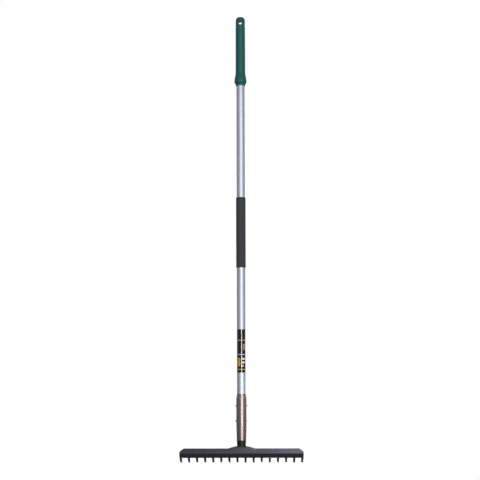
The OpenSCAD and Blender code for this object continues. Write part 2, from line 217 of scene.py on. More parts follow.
# %% Floor paint and a painted glow
# Painted board: pale and matt, with a faint mottle where it was rolled. For the camera it also
# glows, a painted glow that rises towards its rim, where it passes into the white backdrop, as a
# studio's curved sweep would look. Every other ray sees a dim grey board instead, so the light
# that it throws back up is weak; the rake hangs well above it.
pale_floor, tree, shader, spot = open_finish("matt_floor_with_painted_glow", "#e9e9e6", 0.8)
mottle = add_node(tree, "ShaderNodeTexNoise", {"Vector": spot, "Scale": per(90), "Detail": 3.0})
tint = add_node(tree, "ShaderNodeMix", {0: mottle.outputs["Fac"], 6: linear("#e6e6e3"),
                                        7: linear("#ededea")}, data_type="RGBA")
tree.links.new(tint.outputs[2], shader.inputs["Base Color"])
shader.inputs["Emission Color"].default_value = linear("#ffffff")
# Painted glow: the emission grows from the middle of the floor towards its rim, and only the camera sees it.
flat = add_node(tree, "ShaderNodeMapping", {"Vector": spot, "Scale": (1, 1, 0)})
reach = add_node(tree, "ShaderNodeVectorMath", {0: flat.outputs[0]}, operation="LENGTH")
painted_rim_glow = add_node(tree, "ShaderNodeMapRange", {"Value": reach.outputs["Value"], "From Min": 0.4,
                                              "From Max": 2.1, "To Min": 0.4, "To Max": 1.0},
                 interpolation_type="SMOOTHSTEP")
tree.links.new(painted_rim_glow.outputs[0], shader.inputs["Emission Strength"])
dim = add_node(tree, "ShaderNodeBsdfDiffuse", {"Color": linear("#5c5c5a")})
eye = add_node(tree, "ShaderNodeLightPath")
board = add_node(tree, "ShaderNodeMixShader", {0: eye.outputs["Is Camera Ray"], 1: dim.outputs[0],
                                               2: shader.outputs[0]})
tree.links.new(board.outputs[0], tree.nodes["Material Output"].inputs["Surface"])
floor_mesh.materials.append(pale_floor)

# %% Green elastomer
# Thermoplastic elastomer on the end grip, moulded with a fine grain: matt, a little silky.
green_rubber, tree, shader, spot = open_finish("moulded_elastomer", "#0a544e", 0.52)
shader.inputs["Specular IOR Level"].default_value = 0.37
cloud = add_node(tree, "ShaderNodeTexNoise", {"Vector": spot, "Scale": per(28), "Detail": 4.0})
tint = add_node(tree, "ShaderNodeMix", {0: cloud.outputs["Fac"], 6: linear("#084f4a"), 7: linear("#0d5954")},
                data_type="RGBA")
tree.links.new(tint.outputs[2], shader.inputs["Base Color"])
grain = add_node(tree, "ShaderNodeTexNoise", {"Vector": spot, "Scale": per(0.9), "Detail": 2.0})
bump = add_node(tree, "ShaderNodeBump", {"Height": grain.outputs["Fac"], "Strength": 0.25,
                                         "Distance": mm(0.25)})
tree.links.new(bump.outputs["Normal"], shader.inputs["Normal"])

# %% Drawn aluminium
# Drawn aluminium tube, clear anodised: fine lines run along it, so it is silky, not a mirror.
tube_metal, tree, shader, spot = open_finish("drawn_anodised_aluminium", "#cad0db", 0.62, 1.0)
along = add_node(tree, "ShaderNodeMapping", {"Vector": spot, "Scale": (per(1.1), per(1.1), per(260))})
lines = add_node(tree, "ShaderNodeTexNoise", {"Vector": along.outputs[0], "Scale": 1.0, "Detail": 3.0})
silky = add_node(tree, "ShaderNodeMapRange", {"Value": lines.outputs["Fac"], "From Min": 0.3,
                                              "From Max": 0.7, "To Min": 0.58, "To Max": 0.66})
tree.links.new(silky.outputs[0], shader.inputs["Roughness"])
bump = add_node(tree, "ShaderNodeBump", {"Height": lines.outputs["Fac"], "Strength": 0.12,
                                         "Distance": mm(0.05)})
tree.links.new(bump.outputs["Normal"], shader.inputs["Normal"])

# %% Foam
# Nitrile foam: a closed skin over small cells, dull, with no clear highlight. The hollows between
# the cells are coloured darker, a painted shade in the pores.
foam, tree, shader, spot = open_finish("nitrile_foam", "#36353a", 0.82)
shader.inputs["IOR"].default_value = 1.45
cells = add_node(tree, "ShaderNodeTexVoronoi", {"Vector": spot, "Scale": per(1.6)})
# Painted shade: the colour darkens with distance from a cell's middle, into the hollows that the bump
# presses in.
tint = add_node(tree, "ShaderNodeMix", {0: cells.outputs["Distance"], 6: linear("#3c3b41"),
                                        7: linear("#303034")}, data_type="RGBA")
tree.links.new(tint.outputs[2], shader.inputs["Base Color"])
bump = add_node(tree, "ShaderNodeBump", {"Height": cells.outputs["Distance"], "Strength": 0.5,
                                         "Distance": mm(0.35)}, invert=True)
tree.links.new(bump.outputs["Normal"], shader.inputs["Normal"])

# %% Bronze coat
# Bronze-coloured coat on an aluminium ferrule: a pearl lacquer over a metallic base. The mica
# plates in it are coated with titania, whose IOR is 2.6, so it reflects more than clear lacquer
# does, and in a wider and whiter streak.
bronze, tree, shader, spot = open_finish("lacquered_bronze_coat", "#5f433d", 0.47, 1.0)
shader.inputs["Coat Weight"].default_value = 1.0
shader.inputs["Coat IOR"].default_value = 2.6
shader.inputs["Coat Roughness"].default_value = 0.4
flake = add_node(tree, "ShaderNodeTexNoise", {"Vector": spot, "Scale": per(1.4), "Detail": 2.0})
tint = add_node(tree, "ShaderNodeMix", {0: flake.outputs["Fac"], 6: linear("#573e38"), 7: linear("#674842")},
                data_type="RGBA")
tree.links.new(tint.outputs[2], shader.inputs["Base Color"])
haze = add_node(tree, "ShaderNodeMapRange", {"Value": flake.outputs["Fac"], "To Min": 0.42, "To Max": 0.52})
tree.links.new(haze.outputs[0], shader.inputs["Roughness"])

# %% Rivet metal
# Mill-finish aluminium of the rivets: tumbled, pale, with soft small dents.
rivet_metal, tree, shader, spot = open_finish("tumbled_aluminium", "#b6aea8", 0.36, 1.0)
dents = add_node(tree, "ShaderNodeTexNoise", {"Vector": spot, "Scale": per(1.8), "Detail": 2.0})
worn = add_node(tree, "ShaderNodeMapRange", {"Value": dents.outputs["Fac"], "To Min": 0.3, "To Max": 0.46})
tree.links.new(worn.outputs[0], shader.inputs["Roughness"])
bump = add_node(tree, "ShaderNodeBump", {"Height": dents.outputs["Fac"], "Strength": 0.2,
                                         "Distance": mm(0.15)})
tree.links.new(bump.outputs["Normal"], shader.inputs["Normal"])

# %% Collar plastic
# Black polypropylene of the collar: moulded, satin, a touch waxy.
black_plastic, tree, shader, spot = open_finish("moulded_polypropylene", "#121115", 0.45)
shader.inputs["IOR"].default_value = 1.49
shader.inputs["Specular IOR Level"].default_value = 0.3
wax = add_node(tree, "ShaderNodeTexNoise", {"Vector": spot, "Scale": per(4), "Detail": 3.0})
sheen = add_node(tree, "ShaderNodeMapRange", {"Value": wax.outputs["Fac"], "To Min": 0.38, "To Max": 0.55})
tree.links.new(sheen.outputs[0], shader.inputs["Roughness"])

# %% Nylon
# Glass-filled nylon of the head: charcoal, satin, with the grain of a spark-eroded mould.
nylon, tree, shader, spot = open_finish("glass_filled_nylon", "#2b2a35", 0.5)
shader.inputs["IOR"].default_value = 1.53
shader.inputs["Specular IOR Level"].default_value = 0.25
flow = add_node(tree, "ShaderNodeTexNoise", {"Vector": spot, "Scale": per(35), "Detail": 4.0})
tint = add_node(tree, "ShaderNodeMix", {0: flow.outputs["Fac"], 6: linear("#282732"), 7: linear("#2e2d38")},
                data_type="RGBA")
tree.links.new(tint.outputs[2], shader.inputs["Base Color"])
satin = add_node(tree, "ShaderNodeMapRange", {"Value": flow.outputs["Fac"], "To Min": 0.42, "To Max": 0.56})
tree.links.new(satin.outputs[0], shader.inputs["Roughness"])
grain = add_node(tree, "ShaderNodeTexNoise", {"Vector": spot, "Scale": per(0.8), "Detail": 2.0})
bump = add_node(tree, "ShaderNodeBump", {"Height": grain.outputs["Fac"], "Strength": 0.22,
                                         "Distance": mm(0.2)})
tree.links.new(bump.outputs["Normal"], shader.inputs["Normal"])

# %% [markdown]
# ## Turned pieces
# Most of the handle is round, and a round piece is an outline turned about the handle's axis.
# An outline is drawn as a face in the XZ plane, so that its corners can be rounded by a vertex
# bevel before the face is dropped and its edges are spun. A point of an outline is a radius and
# a height, and a third number rounds its corner. Doubles at the poles are merged after the spin.
# The heights at which pieces begin and end are read from the solids. Radii are written out,
# because a solid's mesh is faceted, and its box can fall short of the true radius.

# %% Helpers for turned pieces
def span(node):
    """Lower and upper z of a solid, in millimetres."""
    low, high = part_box(node)
    return round(low.z * 1000, 2), round(high.z * 1000, 2)


def draw_outline(bm, points):
    """The edges of a closed outline of (radius, z) points. A third number rounds the point's corner."""
    corners = [bm.verts.new(mm(point[0], 0, point[1])) for point in points]
    bm.faces.new(corners)
    for corner, point in zip(corners, points):
        if len(point) == 3:
            bmesh.ops.bevel(bm, geom=[corner], affect="VERTICES", offset=mm(point[2]), offset_type="OFFSET",
                            segments=8, profile=0.5, material=-1)
    face = max(bm.faces, key=lambda f: f.calc_area())
    edges = list(face.edges)
    bmesh.ops.delete(bm, geom=[face], context="FACES_ONLY")
    return edges


def turn(bm, edges, steps=96):
    """Spins edges once round the Z axis and closes the seam. An edge on the axis makes no face, and goes."""
    corners = list({v for e in edges for v in e.verts})
    bmesh.ops.spin(bm, geom=corners + edges, axis=(0, 0, 1), angle=math.tau, steps=steps, use_merge=True)
    bmesh.ops.remove_doubles(bm, verts=bm.verts, dist=mm(0.004))
    bmesh.ops.delete(bm, geom=[e for e in bm.edges if not e.link_faces], context="EDGES")


def make_piece(bm, name, node, finishes, sharp=35):
    """A finished object from a bmesh: it rides on the rake, and stands for a solid."""
    bmesh.ops.recalc_face_normals(bm, faces=bm.faces)
    mesh = bpy.data.meshes.new(name)
    bm.to_mesh(mesh)
    bm.free()
    mesh.shade_smooth()
    mesh.set_sharp_from_angle(angle=math.radians(sharp))
    for finish in finishes:
        mesh.materials.append(finish)
    piece = bpy.data.objects.new(name, mesh)
    scene.collection.objects.link(piece)
    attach(piece, "root")
    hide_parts(node)
    print(name, len(mesh.polygons), "faces")
    return piece


# %% [markdown]
# ## End grip
# The grip is a moulded sleeve with a round top, a barrel that widens slowly, and a bell that
# keeps the hand from sliding off. Its top is flattened on both sides round the hang hole. The
# body is turned, and the flats and the hole are then cut with a Boolean, which leaves the crisp
# curved edges that the mould would give.

# %% End grip body
mounts = {mount["name"]: mount["dims"] for mount in frame["record"]["mounts"]}
TUBE_R = mounts["handle_clip"]["r_mm"]
BORE_R = TUBE_R + 0.1
TUBE_LOW, TUBE_TOP = span("handle_tube")
GRIP_LOW, GRIP_TOP = span("end_grip")
EYE_R, EYE_ROUND, EYE_LOW, EYE_STEP = 15.6, 10.9, -15, 0.4
BARREL_R, BELL_R = 16.25, 20.65
BELL_LOW = GRIP_LOW + 14.5
FLARE_H, FLARE_STEPS = 32, 12
HEEL_R, HEEL_H = 20.15, 4
LIP_R, LIP_H = 16, 5.5


def ease(t):
    """A smooth step from 0 to 1."""
    return t * t * (3 - 2 * t)


# The flare starts a little way into its curve, so that it leaves the barrel with a faint crease.
flare = [(BARREL_R + (BELL_R - BARREL_R) * ease(0.06 + 0.94 * i / FLARE_STEPS),
          BELL_LOW + FLARE_H * (1 - i / FLARE_STEPS)) for i in range(FLARE_STEPS)]
grip_outline = [(0, GRIP_TOP), (EYE_R, GRIP_TOP, EYE_ROUND), (EYE_R, EYE_LOW)]
grip_outline += [(EYE_R + EYE_STEP, EYE_LOW - EYE_STEP)] + flare
grip_outline += [(BELL_R, BELL_LOW, 1.5), (HEEL_R, BELL_LOW - HEEL_H), (BARREL_R, GRIP_LOW + LIP_H, 0.8)]
grip_outline += [(LIP_R, GRIP_LOW, 0.6), (BORE_R, GRIP_LOW), (BORE_R, TUBE_TOP), (0, TUBE_TOP)]
bm = bmesh.new()
turn(bm, draw_outline(bm, grip_outline))
end_grip = make_piece(bm, "end_grip_skin", "end_grip", [green_rubber])

# %% [markdown]
# The cutter for a flat starts as a disc. Its upper half is pulled up past the top of the grip,
# which makes a slot with a round lower end, and the face is then drawn outwards and widened, so
# that the flat ends in a sloping, curved step. The hole's cutter is a turned spool, whose wide
# ends round the rim.

# %% Flats
def cut_away(piece, cutter):
    """Boolean difference, applied, so that no cutter stays in the scene."""
    change = piece.modifiers.new("cut", "BOOLEAN")
    change.object = cutter
    change.solver = "EXACT"
    shown = piece.evaluated_get(bpy.context.evaluated_depsgraph_get())
    cut = bpy.data.meshes.new_from_object(shown)
    piece.modifiers.clear()
    old, piece.data = piece.data, cut
    cut.name = piece.name
    bpy.data.meshes.remove(old)
    bpy.data.meshes.remove(cutter.data)


def loose_cutter(bm):
    """A cutter's object, from a bmesh."""
    bmesh.ops.recalc_face_normals(bm, faces=bm.faces)
    mesh = bpy.data.meshes.new("cutter")
    bm.to_mesh(mesh)
    bm.free()
    cutter = bpy.data.objects.new("cutter", mesh)
    scene.collection.objects.link(cutter)
    return cutter


FLAT_Y, FLAT_R, FLAT_LOW = 14.75, 9.6, -7.5
PAST_TOP, STEP_OUT, STEP_WIDER = 40, 6, 1.6

for side in (-1, 1):
    bm = bmesh.new()
    bmesh.ops.create_circle(bm, cap_ends=True, segments=64, radius=mm(FLAT_R))
    bmesh.ops.rotate(bm, verts=bm.verts, matrix=Matrix.Rotation(math.radians(90), 3, "X"))
    bmesh.ops.translate(bm, verts=bm.verts, vec=mm(0, side * FLAT_Y, FLAT_LOW))
    upper = [v for v in bm.verts if v.co.z > mm(FLAT_LOW)]
    bmesh.ops.translate(bm, verts=upper, vec=mm(0, 0, PAST_TOP))
    grown = bmesh.ops.extrude_face_region(bm, geom=bm.faces[:])
    far = [g for g in grown["geom"] if isinstance(g, bmesh.types.BMVert)]
    bmesh.ops.scale(bm, verts=far, vec=(STEP_WIDER, 1, STEP_WIDER),
                    space=Matrix.Translation(mm(0, 0, -FLAT_LOW)))
    bmesh.ops.translate(bm, verts=far, vec=mm(0, side * STEP_OUT, 0))
    cut_away(end_grip, loose_cutter(bm))
print("end grip with flats:", len(end_grip.data.polygons), "faces")

# %% Hang hole
HOLE_R = mounts["hang_hole"]["r_mm"]
HOLE_HALF = mounts["hang_hole"]["length_mm"] / 2
RIM, RIM_ROUND = 2.2, 0.9
RIM_R, RIM_Y = HOLE_R + RIM, HOLE_HALF + RIM
SPOOL_HALF = 18

spool = [(0, -SPOOL_HALF), (RIM_R, -SPOOL_HALF), (RIM_R, -RIM_Y), (HOLE_R, -HOLE_HALF, RIM_ROUND)]
spool += [(HOLE_R, HOLE_HALF, RIM_ROUND), (RIM_R, RIM_Y), (RIM_R, SPOOL_HALF), (0, SPOOL_HALF)]
bm = bmesh.new()
turn(bm, draw_outline(bm, spool), steps=64)
bmesh.ops.rotate(bm, verts=bm.verts, matrix=Matrix.Rotation(math.radians(90), 3, "X"))
cut_away(end_grip, loose_cutter(bm))
end_grip.data.shade_smooth()
end_grip.data.set_sharp_from_angle(angle=math.radians(28))
print("end grip with hole:", len(end_grip.data.polygons), "faces")

# %% [markdown]
# ## Tube and foam sleeve
# The tube is a plain turned wall with broken edges. The foam sleeve sits tight on it. Foam is
# never quite even, so its outline has a ring of points every six millimetres, and each point of
# the turned skin is then moved a fraction of a millimetre by a smooth noise.

# %% Tube
TUBE_WALL, TUBE_EDGE = 1.2, 0.3
TUBE_INNER_R = TUBE_R - TUBE_WALL

wall = [(TUBE_INNER_R, TUBE_TOP), (TUBE_R, TUBE_TOP, TUBE_EDGE)]
wall += [(TUBE_R, TUBE_LOW, TUBE_EDGE), (TUBE_INNER_R, TUBE_LOW)]
bm = bmesh.new()
turn(bm, draw_outline(bm, wall))
make_piece(bm, "drawn_tube", "handle_tube", [tube_metal])

# %% Foam sleeve
FOAM_LOW, FOAM_TOP = span("mid_grip")
FOAM_R = TUBE_R + 1.9
FOAM_ROUND = 1.1
RING = 6
UNEVEN, UNEVEN_EVERY = 0.18, 11

sleeve = [(BORE_R, FOAM_TOP), (FOAM_R, FOAM_TOP, FOAM_ROUND)]
sleeve += [(FOAM_R, FOAM_TOP - RING * i) for i in range(1, int((FOAM_TOP - FOAM_LOW) / RING))]
sleeve += [(FOAM_R, FOAM_LOW, FOAM_ROUND), (BORE_R, FOAM_LOW)]
bm = bmesh.new()
turn(bm, draw_outline(bm, sleeve))
for v in bm.verts:
    out = Vector((v.co.x, v.co.y, 0))
    if out.length > mm(BORE_R + 0.5):
        v.co += out.normalized() * mm(UNEVEN) * noise.noise(v.co * per(UNEVEN_EVERY))
foam_sleeve = make_piece(bm, "foam_sleeve", "mid_grip", [foam], sharp=60)

# %% [markdown]
# ## Label
# The label is a printed film wrapped once round the tube, with its seam at the back. A line of
# points down the film, one wherever the print changes, is spun round the tube in two-degree
# steps. The faces are then given their inks by height and by how far round they are, and the
# film gets its thickness last. The print is plain bars and lines, and one white line down the
# front is a painted highlight, where the tall lamp's reflection falls on the film.

# %% Inks
def print_ink(name, colour, other, roughness):
    """Ink under a gloss film: the colour varies a little, and the film is slightly wavy."""
    ink, tree, shader, spot = open_finish(name, colour, roughness)
    shader.inputs["IOR"].default_value = 1.5
    patch = add_node(tree, "ShaderNodeTexNoise", {"Vector": spot, "Scale": per(12), "Detail": 3.0})
    tint = add_node(tree, "ShaderNodeMix", {0: patch.outputs["Fac"], 6: linear(colour), 7: linear(other)},
                    data_type="RGBA")
    tree.links.new(tint.outputs[2], shader.inputs["Base Color"])
    bump = add_node(tree, "ShaderNodeBump", {"Height": patch.outputs["Fac"], "Strength": 0.05,
                                             "Distance": mm(0.3)})
    tree.links.new(bump.outputs["Normal"], shader.inputs["Normal"])
    return ink


inks = [
    print_ink("black_label_film", "#0d0c0e", "#141316", 0.12),
    print_ink("yellow_label_ink", "#b49522", "#a58820", 0.16),
    print_ink("white_label_ink", "#cfcfd2", "#c3c3c7", 0.16),
    print_ink("tan_label_ink", "#8f7d5c", "#837255", 0.16),
]
BLACK, YELLOW, WHITE, TAN = range(len(inks))

# %% Label
LABEL_LOW, LABEL_TOP = span("label_wrap")
LABEL_H = LABEL_TOP - LABEL_LOW
FILM = 0.2
SEAM, STEP = 8, 2
BACK = 90

# Each bar of print: its ink, where it starts and ends in millimetres below the label's top, and
# its first and last degree to the right of the front. What no bar covers stays black. The last
# bar, a white line the whole height of the label from 2 to 8 degrees, is a painted highlight.
bars = [
    (TAN, 34, 38, -60, 60), (TAN, 48, 68, 24, 60), (WHITE, 82, 84, -60, 60),
    (YELLOW, 94, 122, -57, -12), (WHITE, 94, 100, 9, 54), (WHITE, 106, 112, 9, 54),
    (WHITE, 118, 122, 9, 36), (YELLOW, 130, 133, -60, 60), (WHITE, 0, LABEL_H, 2, 8),
]
levels = sorted({0, LABEL_H} | {depth for bar in bars for depth in bar[1:3]})
bm = bmesh.new()
line = [bm.verts.new(mm(BORE_R, 0, LABEL_TOP - depth)) for depth in levels]
edges = [bm.edges.new(pair) for pair in zip(line, line[1:])]
bmesh.ops.rotate(bm, verts=line, matrix=Matrix.Rotation(math.radians(BACK + SEAM / 2), 3, "Z"))
bmesh.ops.spin(bm, geom=line + edges, axis=(0, 0, 1), angle=math.radians(360 - SEAM),
               steps=(360 - SEAM) // STEP)
for face in bm.faces:
    face.material_index = BLACK
    place = face.calc_center_median() * 1000
    turned = math.degrees(math.atan2(place.x, -place.y))
    for ink, start, end, first, last in bars:
        if start < LABEL_TOP - place.z < end and first < turned < last:
            face.material_index = ink
bmesh.ops.recalc_face_normals(bm, faces=bm.faces)
bmesh.ops.solidify(bm, geom=bm.faces[:], thickness=mm(FILM))
make_piece(bm, "label_film", "label_wrap", inks)

# %% [markdown]
# ## Ferrule, rivets and collar
# The ferrule joins the handle to the head: a rounded shoulder, a straight body and a tapered
# foot, turned in one piece. Each rivet crosses it from side to side, and its heads sit in small
# spot faces, which are cut as discs. A rivet is turned about its own axis, as it would be headed.

# %% Ferrule
FERRULE_LOW, FERRULE_TOP = span("ferrule")
BODY_R, FOOT_R, BRIM_R = 16.85, 15.6, 14.4
FOOT_H, SHOULDER_H, SHOULDER_STEPS = 53, 18, 10
SPIGOT_BORE_R = 12.7

ferrule_outline = [(BORE_R, FERRULE_TOP), (BORE_R, TUBE_LOW), (SPIGOT_BORE_R, TUBE_LOW)]
ferrule_outline += [(SPIGOT_BORE_R, FERRULE_LOW), (FOOT_R, FERRULE_LOW, 0.7), (BODY_R, FERRULE_LOW + FOOT_H)]
for i in range(SHOULDER_STEPS + 1):
    share = i / SHOULDER_STEPS
    r = BODY_R + (BRIM_R - BODY_R) * ease(share)
    ferrule_outline.append((r, FERRULE_TOP - SHOULDER_H * (1 - share)))
bm = bmesh.new()
turn(bm, draw_outline(bm, ferrule_outline))
ferrule = make_piece(bm, "ferrule_shell", "ferrule", [bronze])

# %% Spot faces
RIVET_Z = {name: sum(span(name)) / 2 for name in ("upper_rivet", "lower_rivet")}
SEAT_X = 16.35
SPOT_R, SPOT_DEPTH = 4.7, 4

for z in RIVET_Z.values():
    for side in (-1, 1):
        bm = bmesh.new()
        bmesh.ops.create_cone(bm, cap_ends=True, segments=48, radius1=mm(SPOT_R), radius2=mm(SPOT_R),
                              depth=mm(SPOT_DEPTH))
        bmesh.ops.rotate(bm, verts=bm.verts, matrix=Matrix.Rotation(math.radians(90), 3, "Y"))
        bmesh.ops.translate(bm, verts=bm.verts, vec=mm(side * (SEAT_X + SPOT_DEPTH / 2), 0, z))
        cut_away(ferrule, loose_cutter(bm))
ferrule.data.shade_smooth()
ferrule.data.set_sharp_from_angle(angle=math.radians(30))
print("ferrule with spot faces:", len(ferrule.data.polygons), "faces")

# %% Rivets
SHANK_R, RIVET_HEAD_R, RIVET_HEAD_H = 2.5, 4.3, 2.6

half = [(0, SEAT_X + RIVET_HEAD_H)]
for degrees in range(75, -1, -15):
    angle = math.radians(degrees)
    half.append((RIVET_HEAD_R * math.cos(angle), SEAT_X + RIVET_HEAD_H * math.sin(angle)))
half.append((SHANK_R, SEAT_X))
rivet_outline = half + [(r, -x) for r, x in reversed(half)]
for name, z in RIVET_Z.items():
    bm = bmesh.new()
    turn(bm, draw_outline(bm, rivet_outline), steps=40)
    bmesh.ops.rotate(bm, verts=bm.verts, matrix=Matrix.Rotation(math.radians(90), 3, "Y"))
    bmesh.ops.translate(bm, verts=bm.verts, vec=mm(0, 0, z))
    make_piece(bm, name + "_domed", name, [rivet_metal], sharp=40)

# %% Collar
COLLAR_LOW, COLLAR_TOP = span("neck_collar")
COLLAR_R, COLLAR_TAPER = FOOT_R, 0.0605
COLLAR_TOP_R, COLLAR_LOW_R = 15.58, 14.46
TOP_EDGE_R, LOW_EDGE_R, EDGE_H = 15.3, 14.2, 0.3
GROOVES, GROOVE_DEPTH = 3, 0.8
GROOVE_HALF, GROOVE_FLOOR_HALF = 1.1, 0.7

collar_outline = [(SPIGOT_BORE_R, COLLAR_TOP), (TOP_EDGE_R, COLLAR_TOP)]
collar_outline.append((COLLAR_TOP_R, COLLAR_TOP - EDGE_H))
for i in range(1, GROOVES + 1):
    drop = (COLLAR_TOP - COLLAR_LOW) * i / (GROOVES + 1)
    z, r = COLLAR_TOP - drop, COLLAR_R - COLLAR_TAPER * drop
    floor_r = r - GROOVE_DEPTH
    collar_outline += [(r, z + GROOVE_HALF), (floor_r, z + GROOVE_FLOOR_HALF)]
    collar_outline += [(floor_r, z - GROOVE_FLOOR_HALF), (r, z - GROOVE_HALF)]
collar_outline.append((COLLAR_LOW_R, COLLAR_LOW + EDGE_H))
collar_outline += [(LOW_EDGE_R, COLLAR_LOW), (SPIGOT_BORE_R, COLLAR_LOW)]
bm = bmesh.new()
turn(bm, draw_outline(bm, collar_outline))
make_piece(bm, "ringed_collar", "neck_collar", [black_plastic], sharp=30)

# %% [markdown]
# ## Head
# The head is one moulding: a bar with two leaning front faces and ribbed pockets behind, a hump
# that carries the neck, and sixteen curved teeth that grow out of its underside. It is modelled
# as it would be on the bench: a section is drawn out along the bar, its corners are cut off,
# its front edges are rounded, and it is then sliced at every rib, so that teeth and pockets can
# be pulled out of, and pushed into, the slices.

# %% Bar
BOSS_H = 36.8
BAR_LOW = COLLAR_LOW - BOSS_H
BAR_H = 29.6
BAR_BACK = 3
TOP_Y, NOSE_Y, FOOT_Y = -17.0, -21.5, -9.1
NOSE_H = 14.78
HALF = round(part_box("rake_head")[1].x * 1000, 2)
CORNER_W, CORNER_H = 12.5, 9.5
FRONT_ROUND = 2.6
# How close to a face of the bar a point has to be to count as on it, in millimetres.
NEAR = 0.1


def at_head(x, y, h):
    """A point of the head in metres, with its height counted from the bar's lower edge."""
    return mm(x, y, BAR_LOW + h)


def height_of(v):
    """Height of a vertex above the bar's lower edge, in millimetres."""
    return v.co.z * 1000 - BAR_LOW


def slice_at(bm, co, normal, faces=None, drop=False):
    """Cuts faces by a plane, and drops what lies outside if asked. Gives the edges of the cut."""
    chosen = bm.faces[:] if faces is None else faces
    geom = chosen + list({e for f in chosen for e in f.edges}) + list({v for f in chosen for v in f.verts})
    cut = bmesh.ops.bisect_plane(bm, geom=geom, dist=mm(0.005), plane_co=co, plane_no=normal,
                                 clear_outer=drop)
    return [g for g in cut["geom_cut"] if isinstance(g, bmesh.types.BMEdge)]


bm = bmesh.new()
section = [(BAR_BACK, BAR_H), (TOP_Y, BAR_H), (NOSE_Y, NOSE_H), (FOOT_Y, 0), (BAR_BACK, 0)]
start = bm.faces.new([bm.verts.new(at_head(-HALF, y, h)) for y, h in section])
grown = bmesh.ops.extrude_face_region(bm, geom=[start])
far = [g for g in grown["geom"] if isinstance(g, bmesh.types.BMVert)]
bmesh.ops.translate(bm, verts=far, vec=mm(2 * HALF, 0, 0))
for side in (-1, 1):
    corner = at_head(side * (HALF - CORNER_W), 0, BAR_H)
    edges = slice_at(bm, corner, (side * CORNER_H, 0, CORNER_W), drop=True)
    bmesh.ops.edgeloop_fill(bm, edges=edges)
bmesh.ops.recalc_face_normals(bm, faces=bm.faces)
front_edges = []
for e in bm.edges:
    at_back = all(v.co.y > mm(BAR_BACK - NEAR) for v in e.verts)
    at_foot = any(height_of(v) < NEAR for v in e.verts)
    if not at_back and not at_foot:
        front_edges.append(e)
bmesh.ops.bevel(bm, geom=front_edges, affect="EDGES", offset=mm(FRONT_ROUND), offset_type="OFFSET",
                segments=5, profile=0.5, material=-1, clamp_overlap=True)
print("bar:", len(bm.faces), "faces")

# %% Slices at the ribs and over the hump
PITCH, TOOTH_COUNT = 26.5, 16
TEETH = [PITCH * (i - (TOOTH_COUNT - 1) / 2) for i in range(TOOTH_COUNT)]
RIB = 3.4
WALL = 3.6
HUMP_LOW = 12
END_POCKET_TOP = 23
# Slices at the hump's ends, and where the curve of its outline needs points.
HUMP_SLICES = (-46, -31, -26.7, -22, -4.5, 0, 4.5, 22, 26.7, 31, 46)


def back_faces(bm):
    """The faces of the bar's open back."""
    return [f for f in bm.faces if f.normal.y > 0.99 and f.calc_center_median().y > mm(BAR_BACK - NEAR)]


def under_faces(bm):
    """The faces of the bar's underside."""
    return [f for f in bm.faces if f.normal.z < -0.99 and abs(height_of(f.verts[0])) < NEAR]


for x in HUMP_SLICES:
    slice_at(bm, mm(x, 0, 0), (1, 0, 0))
for x in [tooth + side for tooth in TEETH for side in (-RIB, RIB)]:
    past_pockets = abs(x) >= TEETH[-1] + RIB
    chosen = under_faces(bm) + ([] if past_pockets else back_faces(bm))
    slice_at(bm, mm(x, 0, 0), (1, 0, 0), None if abs(x) < HUMP_SLICES[-1] else chosen)
for h in (WALL, HUMP_LOW, HUMP_LOW + WALL, END_POCKET_TOP, BAR_H - WALL):
    slice_at(bm, at_head(0, 0, h), (0, 0, 1), back_faces(bm))
print("sliced:", len(bm.faces), "faces")

# %% [markdown]
# The back of the hump is pulled out first, most in the middle and not at all at its ends. Then
# the pockets are pushed in between the ribs, down to a wall of even thickness. Last, the upper
# part of the bar is lifted along a flat arc, so that everything in it follows the dome.

# %% Hump
# The hump ends at the outer side of the second rib from the middle.
HUMP_END = 1.5 * PITCH + RIB
HUMP_BACK, HUMP_EASE = 13, 22
MERGE = 0.01


def push(bm, faces, place):
    """Extrudes faces and puts each new vertex where place says. Gives the new faces."""
    grown = bmesh.ops.extrude_face_region(bm, geom=faces)
    bmesh.ops.delete(bm, geom=faces, context="FACES")
    for v in [g for g in grown["geom"] if isinstance(g, bmesh.types.BMVert)]:
        v.co = place(v)
    return [g for g in grown["geom"] if isinstance(g, bmesh.types.BMFace)]


def pulled_back(v):
    """Place of a vertex on the back of the hump."""
    share = min(1, max(0, (HUMP_END - abs(v.co.x * 1000)) / HUMP_EASE))
    return v.co + mm(0, HUMP_BACK * share, 0)


hump_faces = []
for f in back_faces(bm):
    c = f.calc_center_median()
    if abs(c.x) < mm(HUMP_END) and c.z > mm(BAR_LOW + HUMP_LOW):
        hump_faces.append(f)
push(bm, hump_faces, pulled_back)
bmesh.ops.remove_doubles(bm, verts=bm.verts, dist=mm(MERGE))
bmesh.ops.dissolve_degenerate(bm, dist=mm(MERGE), edges=bm.edges)
bm.normal_update()
print("hump:", len(hump_faces), "faces pulled back")

# %% Pockets
# Tangents of the angles by which the two front faces lean: 15 and 40 degrees.
UPPER_LEAN, LOWER_LEAN = 0.268, 0.839
POCKET_TOP_Y, POCKET_FOOT_Y, POCKET_BEND_H = -13.2, -4.3, 14


def pocket_floor(v):
    """Place of a vertex on the inner side of the front wall."""
    h = height_of(v)
    upper, lower = POCKET_TOP_Y - UPPER_LEAN * (BAR_H - h), POCKET_FOOT_Y - LOWER_LEAN * h
    return Vector((v.co.x, mm(upper if h > POCKET_BEND_H else lower), v.co.z))


